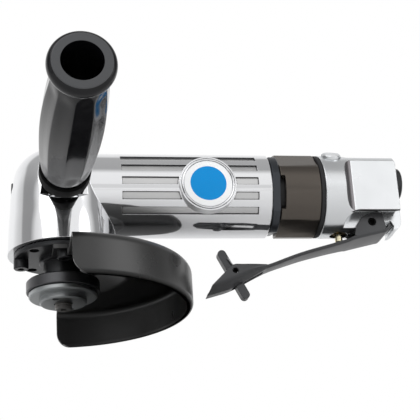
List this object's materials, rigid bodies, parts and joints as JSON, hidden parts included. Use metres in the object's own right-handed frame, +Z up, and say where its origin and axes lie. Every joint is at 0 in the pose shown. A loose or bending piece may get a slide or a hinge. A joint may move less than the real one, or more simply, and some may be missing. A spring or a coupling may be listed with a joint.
{
  "type": "pneumatic angle grinder",
  "caption": "Hand-held air-driven angle grinder with a polished barrel housing, half-round wheel guard, lever throttle with a folding safety catch and a screw-in side handle.",
  "frame": {"origin": "middle of the bounding box in X and Y, at the height of the guard rim that the tool stands on", "axes": "+X from the head back to the air inlet, +Y away from the side handle, +Z up along the wheel spindle"},
  "size_m": [0.2274, 0.232, 0.0929],
  "materials": {
    "polished_alloy": "mirror polished casting",
    "white_enamel": "glossy enamel",
    "black_steel": "blackened, satin",
    "black_coating": "semi-gloss black coating",
    "bright_steel": "ground steel",
    "gear_steel": "hardened, lightly oiled",
    "vane_resin": "fabric-filled resin",
    "slate_metal": "dark slate, satin",
    "dark_metal": "dark anodised, satin",
    "black_rubber": "matte",
    "cast_alloy": "fine cast, satin",
    "brass_parts": "machined",
    "grey_paint": "satin dark grey",
    "black_plastic": "moulded, glossy"
  },
  "bodies": {
    "casing": {"housing": "polished_alloy", "badge_bezel": "polished_alloy", "badge_plate": "white_enamel", "grease_plug": "black_steel", "handle_hole_plug": "black_steel", "cap_screw_1": "black_steel", "cap_screw_2": "black_steel", "cap_screw_3": "black_steel", "cap_screw_4": "black_steel", "inlet_bushing": "black_steel", "bearing_cap": "black_coating", "guard": "black_coating", "lower_bearing": "bright_steel", "upper_bearing": "bright_steel", "front_end_plate": "bright_steel", "cylinder_liner": "bright_steel", "rear_end_plate": "bright_steel", "front_rotor_bearing": "bright_steel", "rear_rotor_bearing": "bright_steel", "lever_pin": "bright_steel", "valve_spring": "bright_steel", "handle_stud": "bright_steel", "lock_ring": "slate_metal", "exhaust_sleeve": "dark_metal", "rear_gasket": "black_rubber", "valve_housing": "cast_alloy", "valve_bushing": "brass_parts", "inlet_screen": "brass_parts", "handle_collar": "black_plastic", "side_handle_grip": "black_plastic"},
    "spindle_set": {"spindle": "bright_steel", "gear_key": "bright_steel", "bevel_gear": "gear_steel", "inner_flange": "black_steel", "outer_flange_nut": "bright_steel"},
    "motor_rotor": {"rotor": "bright_steel", "pinion": "gear_steel", "vane_1": "vane_resin", "vane_2": "vane_resin", "vane_3": "vane_resin", "vane_4": "vane_resin", "vane_5": "vane_resin"},
    "lever": {"throttle_lever": "grey_paint", "safety_pin": "bright_steel"},
    "safety": {"safety_lever": "grey_paint", "safety_spring": "bright_steel"},
    "valve": {"valve_stem": "brass_parts"},
    "regulator": {"regulator_knob": "slate_metal"}
  },
  "joints": [
    {"name": "rotor_spin", "type": "hinge", "parent": "casing", "child": "motor_rotor", "pos_m": [-0.08385, 0.0455, 0.0686], "axis": [1, 0, 0], "continuous": true},
    {"name": "spindle_spin", "type": "hinge", "parent": "casing", "child": "spindle_set", "pos_m": [-0.08385, 0.0455, 0.0186], "axis": [0, 0, 1], "continuous": true},
    {"name": "lever_squeeze", "type": "hinge", "parent": "casing", "child": "lever", "pos_m": [0.09185, 0.0455, 0.0493], "axis": [0, 1, 0], "range_deg": [0, 12], "stiffness_Nm_per_rad": 3, "springref_deg": -5.73},
    {"name": "safety_fold", "type": "hinge", "parent": "lever", "child": "safety", "pos_m": [0.01089, 0.0455, 0.02131], "axis": [0, -1, 0], "range_deg": [0, 80]},
    {"name": "valve_lift", "type": "slide", "parent": "casing", "child": "valve", "axis": [0, 0, 1], "range_m": [0, 0.0039], "deforming": ["valve_spring"]},
    {"name": "regulator_turn", "type": "hinge", "parent": "casing", "child": "regulator", "pos_m": [0.07065, 0.0455, 0.0686], "axis": [0, -0.5736, 0.8192], "range_deg": [-90, 90]}
  ],
  "couplings": [
    {"joint": "spindle_spin", "follows": "rotor_spin", "ratio": 0.6},
    {"joint": "safety_fold", "follows": "lever_squeeze", "ratio": 6.6667},
    {"joint": "valve_lift", "follows": "lever_squeeze", "m_per_rad": 0.0185}
  ]
}
